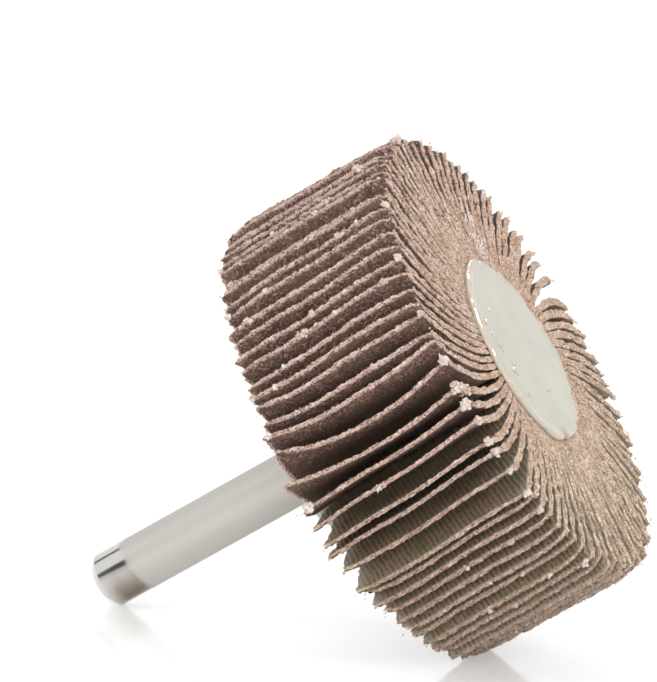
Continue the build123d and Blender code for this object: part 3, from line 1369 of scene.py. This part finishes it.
    def fibre(self, bunch: bmesh.types.BMesh, start: Vector, toward: Vector, length: float,
              curl: Vector) -> None:
        """Draws one bent fibre as a thin tube that is extruded step by step.

        Args:
            bunch: the shape that it is added to.
            start: where it begins.
            toward: unit direction in which it sets out.
            length: its whole length.
            curl: how its direction changes at each step.
        """
        turn = toward.to_track_quat("Z", "Y").to_matrix().to_4x4()
        ring = bmesh.ops.create_circle(bunch, cap_ends=True, segments=3, radius=self.fibre_radius,
                                       matrix=Matrix.Translation(start) @ turn)
        edges = list({edge for vert in ring["verts"] for edge in vert.link_edges})
        heading = toward.copy()
        for _ in range(self.steps):
            grown = bmesh.ops.extrude_edge_only(bunch, edges=edges)["geom"]
            verts = [item for item in grown if isinstance(item, bmesh.types.BMVert)]
            edges = [item for item in grown if isinstance(item, bmesh.types.BMEdge)]
            heading = (heading + curl).normalized()
            bmesh.ops.translate(bunch, vec=heading * length / self.steps, verts=verts)
        middle = sum((vert.co for vert in verts), Vector()) / len(verts)
        bmesh.ops.pointmerge(bunch, verts=verts, merge_co=middle)

    def crumb(self, bunch: bmesh.types.BMesh, start: Vector, random: np.random.Generator) -> None:
        """Adds one knot of matted fibre.

        Args:
            bunch: the shape that it is added to.
            start: its middle.
            random: random numbers for its form.
        """
        turn = Vector(random.normal(0, 1, 3)).normalized().to_track_quat("Z", "Y").to_matrix().to_4x4()
        size = Matrix.Diagonal((*(0.5 + random.random(3)), 1.0))
        made = bmesh.ops.create_icosphere(bunch, subdivisions=1, radius=self.crumb_radius,
                                          matrix=Matrix.Translation(start) @ turn @ size)
        for vert in made["verts"]:
            vert.co += (vert.co - start) * random.normal(0, self.crumb_jag)

    def bunch(self, tuft: Tuft, random: np.random.Generator) -> bpy.types.Mesh:
        """Builds one tuft from crumbs and fibres in turn.

        Args:
            tuft: the tuft.
            random: random numbers for all tufts.

        Returns:
            The tuft, in the row frame.
        """
        shape = bmesh.new()
        out = polar(tuft.angle, 1.0)
        centre = Vector(self.anchor(tuft))
        for number in range(tuft.fibres):
            offset = Vector(random.normal(0, 1, 3)).normalized()
            offset = offset * (self.packing * tuft.spread * MM * random.random() ** 0.5)
            offset.z *= tuft.stretch
            if number % 3 == 1:
                self.crumb(shape, centre + offset, random)
            elif number % 3 == 0:
                toward = (out * 0.5 + Vector(random.normal(0, self.scatter, 3))).normalized()
                curl = Vector(random.normal(0, self.curl, 3))
                length = MM * (self.fibre_least + self.fibre_more * random.random())
                self.fibre(shape, centre + offset * self.fibre_seat, toward, length, curl)
        bmesh.ops.recalc_face_normals(shape, faces=shape.faces)
        for face in shape.faces:
            face.smooth = True
        bmesh.ops.transform(shape, matrix=self.wheel.matrix(), verts=shape.verts)
        return mesh_of(shape, "bunch")

    def build(self) -> bpy.types.Object:
        """Builds all the tufts as one piece.

        Returns:
            The piece.
        """
        random = np.random.default_rng(self.seed)
        joined = bmesh.new()
        for row in self.tufts:
            part = self.bunch(Tuft(*row), random)
            joined.from_mesh(part)
            bpy.data.meshes.remove(part)
        whole = mesh_of(joined, "frayed_tufts")
        set_places(whole, vertex_places(whole))
        made = finished_object("frayed_tufts", whole, [self.material])
        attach(made, "root")
        return made


@dataclass
class TurnedPiece:
    """A piece spun about the wheel's axis from a half profile."""

    wheel: WheelFrame
    material: bpy.types.Material | None = None
    sizes: WheelSizes = SIZES
    segments: int = 180
    longest_edge: float = 1.5 * MM
    cuts: int = 8
    weld_reach: float = 0.002 * MM

    def spin(self, profile: list[tuple[float, float]], breaks: dict[int, float],
             steps: int = 6) -> bmesh.types.BMesh:
        """Spins a profile of radius and station into a closed shape.

        Args:
            profile: points from the axis, round the outside and back to the axis.
            breaks: size of the edge break at the numbered points.
            steps: facets in each edge break; one makes a chamfer.

        Returns:
            The shape, in wheel coordinates.
        """
        shape = bmesh.new()
        verts = [shape.verts.new((radius, 0.0, station)) for radius, station in profile]
        for pair in zip(verts, verts[1:]):
            shape.edges.new(pair)
        for number, size in breaks.items():
            bmesh.ops.bevel(shape, geom=[verts[number]], offset=size, offset_type="OFFSET", segments=steps,
                            profile=0.5, affect="VERTICES", material=-1)
        long_edges = [edge for edge in shape.edges if edge.calc_length() > self.longest_edge]
        bmesh.ops.subdivide_edges(shape, edges=long_edges, cuts=self.cuts)
        bmesh.ops.spin(shape, geom=shape.verts[:] + shape.edges[:], axis=(0.0, 0.0, 1.0),
                       cent=(0.0, 0.0, 0.0), angle=math.tau, steps=self.segments, use_merge=True)
        bmesh.ops.remove_doubles(shape, verts=shape.verts, dist=self.weld_reach)
        bmesh.ops.recalc_face_normals(shape, faces=shape.faces)
        return shape

    def lay_map(self, shape: bmesh.types.BMesh, name: str,
                numbers: Callable[[Vector], tuple[float, float]]) -> None:
        """Smooths the shape's faces and lays a map over them.

        Args:
            shape: the shape.
            name: the map's name.
            numbers: works out a point's two numbers.
        """
        layer = shape.loops.layers.uv.new(name)
        for face in shape.faces:
            face.smooth = True
            for loop in face.loops:
                loop[layer].uv = numbers(loop.vert.co)

    def finish(self, shape: bmesh.types.BMesh, name: str, node: str, slot: str) -> bpy.types.Object:
        """Makes the piece of a shape in wheel coordinates.

        Args:
            shape: the shape.
            name: the piece's name.
            node: the node that it replaces.
            slot: the node's slot; not used.

        Returns:
            The piece.
        """
        mesh = mesh_of(shape, name)
        mesh.transform(self.wheel.matrix())
        made = finished_object(name, mesh, [self.material])
        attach(made, "root")
        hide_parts(node)
        return made


@dataclass
class ResinCore(TurnedPiece):
    """Cast resin core with its glossy face, an uneven raised edge and the boss behind."""

    dome: float = 0.12 * MM
    bead: float = 0.16 * MM
    bead_back: float = 0.35 * MM
    edge_band: float = 1.3 * MM
    edge_depth: float = 0.1 * MM
    shoulder: tuple[float, float] = (0.6, 0.7)
    groove: tuple[float, float] = (1.0 * MM, 0.02 * MM)
    lip_drop: float = 0.05 * MM
    shank_seat: float = 1.0 * MM
    # Number of the profile's point, and size of its edge break in millimetres.
    edge_breaks: tuple = ((2, 0.4), (3, 0.22), (4, 0.12), (9, 0.3), (11, 1.2), (10, 0.8))
    # Waves round the edge, and their height in millimetres and phase.
    creep: tuple = ((3, 0.14, 0.4), (7, 0.12, 1.0), (17, 0.09, 0.0), (29, 0.06, 0.8), (41, 0.06, 2.0))
    bite_angle: float = 172.0
    bite_reach: float = 7.0
    bite: float = 0.3 * MM
    flow_rise: float = 0.35
    bite_drop: float = 0.3
    blister_seat: float = 0.6
    blister_height: float = 0.5
    blister_cells: tuple[int, int] = (20, 12)
    # Angle, distance from the axis and radius of each blister, in millimetres.
    blisters: tuple = (
        (40.3, 6.7, 0.3), (61.0, 8.4, 0.34), (70.0, 7.9, 0.26), (78.3, 7.2, 0.4), (82.8, 7.0, 0.34),
        (98.4, 6.0, 0.36), (103.0, 7.0, 0.4), (108.0, 6.6, 0.28), (188.9, 4.9, 0.36), (126.0, 7.6, 0.26),
    )

    def profile(self) -> list[tuple[float, float]]:
        """Lists the half section from the middle of the face to the middle of the boss's end.

        Returns:
            Radius and station of each point.
        """
        size = self.sizes
        front = size.width + size.front_cover
        return [
            (0.0, front + self.dome),
            (size.hub_radius * self.shoulder[0], front + self.dome * self.shoulder[1]),
            (size.hub_radius - self.groove[0], front - self.groove[1]),
            (size.hub_radius - self.bead_back, front + self.bead),
            (size.hub_radius, front - self.lip_drop),
            (size.hub_radius, size.width),
            (size.root_radius, size.width),
            (size.root_radius, 0.0),
            (size.hub_radius, 0.0),
            (size.hub_radius, -size.rear_cover),
            (size.boss_base_radius, -size.rear_cover),
            (size.boss_end_radius, -size.boss_length),
            (size.shank_radius, -size.boss_length),
            (size.shank_radius, -size.boss_length + self.shank_seat),
            (0.0, -size.boss_length + self.shank_seat),
        ]

    def rust_place(self) -> Vector:
        """Middle of the brown stain, in the row frame."""
        front = self.sizes.width + self.sizes.front_cover
        return self.wheel.matrix() @ polar(self.bite_angle, self.sizes.hub_radius - self.bite, front)

    def roughen_edge(self, shape: bmesh.types.BMesh) -> None:
        """Lets the face's edge wander and swell as poured resin does.

        Args:
            shape: the core, in wheel coordinates.
        """
        inner = self.sizes.hub_radius - self.edge_band
        for vert in shape.verts:
            radius = math.hypot(vert.co.x, vert.co.y)
            if vert.co.z < self.sizes.width - self.edge_depth or radius < inner:
                continue
            turn = math.atan2(vert.co.y, vert.co.x)
            near = min((radius - inner) / self.edge_band, 1.0)
            flow = sum(height * math.sin(rate * turn + phase) for rate, height, phase in self.creep)
            bite = self.bite * hill(math.degrees(turn), self.bite_angle, self.bite_reach)
            swell = 1 + near * (flow * MM - bite) / radius
            vert.co.x *= swell
            vert.co.y *= swell
            lift = near * (self.flow_rise * flow * MM - self.bite_drop * bite)
            vert.co.z += lift * (vert.co.z > self.sizes.width + self.edge_depth)

    def raise_blisters(self, shape: bmesh.types.BMesh) -> None:
        """Sets low domes, left by air in the resin, into the face.

        Args:
            shape: the core, in wheel coordinates.
        """
        front = self.sizes.width + self.sizes.front_cover + self.blister_seat * self.dome
        for angle, radius, size in self.blisters:
            place = polar(angle, radius, front / MM) * MM
            flat = Matrix.Translation(place) @ Matrix.Diagonal((1.0, 1.0, self.blister_height, 1.0))
            around, up = self.blister_cells
            bmesh.ops.create_uvsphere(shape, u_segments=around, v_segments=up, radius=size * MM, matrix=flat)

    def build(self) -> bpy.types.Object:
        """Builds the core.

        Returns:
            The piece.
        """
        shape = self.spin(self.profile(), {number: size * MM for number, size in self.edge_breaks})
        self.raise_blisters(shape)
        self.lay_map(shape, "resin", lambda place: (math.hypot(place.x, place.y) / MM, place.z / MM))
        self.roughen_edge(shape)
        return self.finish(shape, "resin_casting", "resin_core", "resin")


@dataclass
class SteelShank(TurnedPiece):
    """Ground steel shank with a chamfered tip."""

    sharp_angle: float = 20.0
    softening: float = 0.06 * MM
    smallest_radius: float = 0.01 * MM

    def profile(self) -> list[tuple[float, float]]:
        """Lists the half section from the tip to the buried end.

        Returns:
            Radius and station of each point.
        """
        size = self.sizes
        return [
            (0.0, -size.shank_exposed),
            (size.shank_radius, -size.shank_exposed),
            (size.shank_radius, size.shank_buried),
            (0.0, size.shank_buried),
        ]

    def numbers(self, place: Vector) -> tuple[float, float]:
        """Distance from the tip in millimetres, and the share of underside."""
        underside = -place.x / max(math.hypot(place.x, place.y), self.smallest_radius)
        return (place.z + self.sizes.shank_exposed) / MM, underside

    def build(self) -> bpy.types.Object:
        """Builds the shank.

        Returns:
            The piece.
        """
        shape = self.spin(self.profile(), {1: self.sizes.shank_tip_chamfer}, steps=1)
        sharp = math.radians(self.sharp_angle)
        ends = [edge for edge in shape.edges if edge.is_manifold and edge.calc_face_angle() > sharp]
        bmesh.ops.bevel(shape, geom=ends, offset=self.softening, offset_type="OFFSET", segments=2,
                        profile=0.5, affect="EDGES", material=-1)
        self.lay_map(shape, "steel", self.numbers)
        return self.finish(shape, "ground_shank", "shank", "steel")


@dataclass(frozen=True)
class Lamp:
    """A soft square lamp that points at the wheel."""

    name: str
    place: tuple[float, float, float]
    size: float
    power: float


@dataclass
class Studio:
    """White table, soft light with dark screens beside it, and the camera."""

    wheel: WheelFrame
    floor_half_width: float = 4.0
    world_strength: float = 0.52
    # Angle and half width of each dark screen.
    screens: tuple = ((60.0, 13.0), (-13.0, 6.0))
    screen_blur: float = 3.0
    screen_ends: tuple[float, float] = (-0.65, 0.15)
    end_blur: float = 0.1
    screen_dark: float = 0.9
    window: tuple[float, float, float] = (0.46, 0.40, 0.79)
    window_half: float = 13.0
    window_core: float = 0.7
    window_strength: float = 90.0
    aim: tuple[float, float, float] = (0.0, 0.0, 0.03)
    camera_place: tuple[float, float, float] = (0.14381, -0.50951, 0.10057)
    camera_turn: tuple[float, float, float] = (82.476, -4.951, 17.0189)
    lens_mm: float = 271.39
    sensor_mm: float = 36.0
    clip: tuple[float, float] = (0.01, 20.0)
    lamps: tuple[Lamp, ...] = (
        Lamp("key", (-0.25, -0.35, 0.55), 0.45, 0.95),
        Lamp("low_front", (0.14, -0.6, 0.10), 0.35, 1.9),
        Lamp("back", (-0.1, 0.5, 0.45), 0.4, 1.3),
        Lamp("right", (0.55, -0.30, 0.42), 0.45, 1.75),
    )

    def lay_floor(self, material: bpy.types.Material) -> None:
        """Lays the table that the wheel rests on.

        Args:
            material: the table's finish.
        """
        shape = bmesh.new()
        bmesh.ops.create_grid(shape, x_segments=1, y_segments=1, size=self.floor_half_width)
        finished_object("table", mesh_of(shape, "table"), [material])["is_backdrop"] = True

    def screen_mask(self, graph: NodeGraph) -> bpy.types.NodeSocket:
        """Masks the directions in which dark screens stand, around the wheel's axis.

        Args:
            graph: the world's graph.

        Returns:
            The mask.
        """
        toward = graph.add("ShaderNodeTexCoord").outputs["Generated"]

        def part(direction: Vector) -> bpy.types.NodeSocket:
            """Share of a ray's direction that runs along a given one."""
            return graph.vectors("DOT_PRODUCT", toward, direction)

        turn = graph.math("ARCTAN2", part(self.wheel.side), part(self.wheel.up))
        strips = []
        for centre, half in self.screens:
            away = graph.math("ABSOLUTE", graph.minus(turn, math.radians(centre)))
            outer, inner = math.radians(half + self.screen_blur), math.radians(half - self.screen_blur)
            strips.append(graph.ramp(away, outer, inner))
        along = part(self.wheel.axis)
        start, end = self.screen_ends
        after = graph.ramp(along, start, start + self.end_blur)
        before = graph.ramp(along, end, end - self.end_blur)
        between = graph.times(after, before)
        return graph.times(graph.math("MAXIMUM", *strips), between)

    def window_mask(self, graph: NodeGraph) -> bpy.types.NodeSocket:
        """Masks the direction of a small bright window, which shows as glints in the resin.

        Args:
            graph: the world's graph.

        Returns:
            The mask.
        """
        toward = graph.add("ShaderNodeTexCoord").outputs["Generated"]
        near = graph.vectors("DOT_PRODUCT", toward, Vector(self.window).normalized())
        half = math.radians(self.window_half)
        return graph.ramp(near, math.cos(half), math.cos(math.radians(self.window_core * self.window_half)))

    def set_world(self) -> None:
        """Sets an even white world, which shows as plain white."""
        world = bpy.data.worlds.new("studio")
        bpy.context.scene.world = world
        world.use_nodes = True
        graph = NodeGraph(world.node_tree)
        rays = graph.add("ShaderNodeLightPath").outputs
        shine = rays["Is Glossy Ray"]
        seen = graph.math("MAXIMUM", rays["Is Camera Ray"], rays["Is Transmission Ray"])
        seen = graph.math("MAXIMUM", seen, shine)
        dark = graph.times(graph.times(self.screen_mask(graph), shine), self.screen_dark)
        shown = graph.times(seen, 1 - self.world_strength)
        bright = graph.times(graph.times(self.window_mask(graph), shine), self.window_strength)
        strength = graph.minus(graph.plus(shown, self.world_strength), dark)
        strength = graph.plus(strength, bright)
        background = world.node_tree.nodes["Background"].inputs
        background["Color"].default_value = WHITE
        graph.feed(strength, background["Strength"])

    def set_lamps(self) -> None:
        """Hangs the soft lamps."""
        for lamp in self.lamps:
            data = bpy.data.lights.new(lamp.name, "AREA")
            data.size, data.energy = lamp.size, lamp.power
            made = bpy.data.objects.new(lamp.name, data)
            made.location = lamp.place
            toward = Vector(self.aim) - Vector(lamp.place)
            made.rotation_euler = toward.to_track_quat("-Z", "Y").to_euler()
            bpy.context.scene.collection.objects.link(made)

    def set_camera(self) -> None:
        """Puts the camera where the photograph was taken from."""
        data = bpy.data.cameras.new("camera")
        data.lens = self.lens_mm
        data.sensor_width = self.sensor_mm
        data.clip_start, data.clip_end = self.clip
        camera = bpy.data.objects.new("camera", data)
        camera.location = self.camera_place
        camera.rotation_euler = tuple(math.radians(angle) for angle in self.camera_turn)
        bpy.context.scene.collection.objects.link(camera)
        bpy.context.scene.camera = camera


@dataclass
class BoxRecord:
    """Boxes of the solids and of the dressed model."""

    boxes: dict[str, list] = field(default_factory=dict)

    def note(self, name: str) -> None:
        """Keeps the shown object's box under a name."""
        low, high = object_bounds()
        self.boxes[name] = [list(low), list(high)]

    def write(self) -> None:
        """Leaves the boxes where they are kept; nothing is written."""
        self.boxes


def report(piece: bpy.types.Object) -> None:
    """Logs a piece's name and how many triangles it has."""
    piece.data.calc_loop_triangles()
    LOG.info("%s: %d triangles", piece.name, len(piece.data.loop_triangles))


def main() -> None:
    """Builds the wheel's looks, the table, the light and the camera."""
    logging.basicConfig(level=logging.INFO, format="%(name)s: %(message)s")
    boxes = BoxRecord()
    boxes.note("cad")
    wheel = WheelFrame.from_mount(frame["record"]["mounts"][0], SIZES.mount_station)
    effects = Effects()
    cloth = [
        GritFinish("abrasive_grit").build(effects),
        BackingFinish("cotton_backing").build(effects),
        CutFinish("cut_cloth_edge").build(effects, wheel),
        ThreadFinish("loose_cotton").build(),
    ]
    fan = ClothFlaps(wheel, cloth)
    for flap in fan.build():
        report(flap)
    report(FrayedTufts(wheel, cloth[Face.THREAD.value], fan.shapes()).build())
    core = ResinCore(wheel)
    core.material = ResinFinish("cast_resin").build(core.rust_place())
    report(core.build())
    report(SteelShank(wheel, SteelFinish("shank_steel").build()).build())
    studio = Studio(wheel)
    studio.lay_floor(FloorFinish("white_table").build())
    studio.set_world()
    studio.set_lamps()
    studio.set_camera()
    bpy.context.scene.view_settings.view_transform = "Standard"
    bpy.context.view_layer.update()
    boxes.note("visual")
    boxes.write()


if __name__ == "__main__":
    main()
